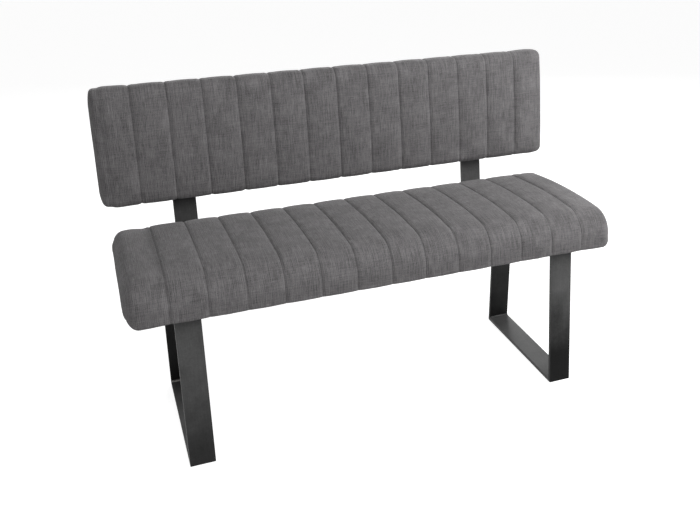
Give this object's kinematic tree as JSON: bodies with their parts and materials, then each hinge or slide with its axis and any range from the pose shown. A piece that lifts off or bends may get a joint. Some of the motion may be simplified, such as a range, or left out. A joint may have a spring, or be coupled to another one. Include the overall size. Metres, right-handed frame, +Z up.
{
  "type": "bench",
  "caption": "Upholstered dining bench with a low backrest: channel-quilted grey cushions on welded flat-bar leg frames, the back on bent flat-bar supports.",
  "frame": {"origin": "on the floor, in the middle of the bench's length and of its overall depth", "axes": "+X along the bench, to the right as seen from the front; +Y from the front to the rear; +Z up"},
  "size_m": [1.256, 0.5383, 0.8392],
  "materials": {
    "quilted_cloth": "matt mottled grey woven upholstery cloth, quilted on wadding",
    "foam": "open-cell cushion foam",
    "plywood": "raw birch plywood",
    "bottom_cloth": "thin black non-woven cloth",
    "steel": "clear-coated blackened steel, satin with cloudy tone",
    "screw_steel": "black oxide",
    "zinc": "zinc plated"
  },
  "bodies": {
    "root": {"seat_cover": "quilted_cloth", "seat_foam": "foam", "seat_board": "plywood", "seat_bottom_cloth": "bottom_cloth", "seat_tee_nuts": "zinc", "back_cover": "quilted_cloth", "back_foam": "foam", "back_board": "plywood", "back_rear_cloth": "quilted_cloth", "back_tee_nuts": "zinc", "left_front_leg": "steel", "left_rear_leg": "steel", "left_runner": "steel", "left_top_bar": "steel", "left_welds": "steel", "right_front_leg": "steel", "right_rear_leg": "steel", "right_runner": "steel", "right_top_bar": "steel", "right_welds": "steel", "left_back_support": "steel", "right_back_support": "steel", "frame_screws": "screw_steel", "support_screws": "screw_steel", "back_screws": "screw_steel", "frame_washers": "screw_steel", "support_washers": "screw_steel", "back_washers": "screw_steel"}
  },
  "joints": []
}
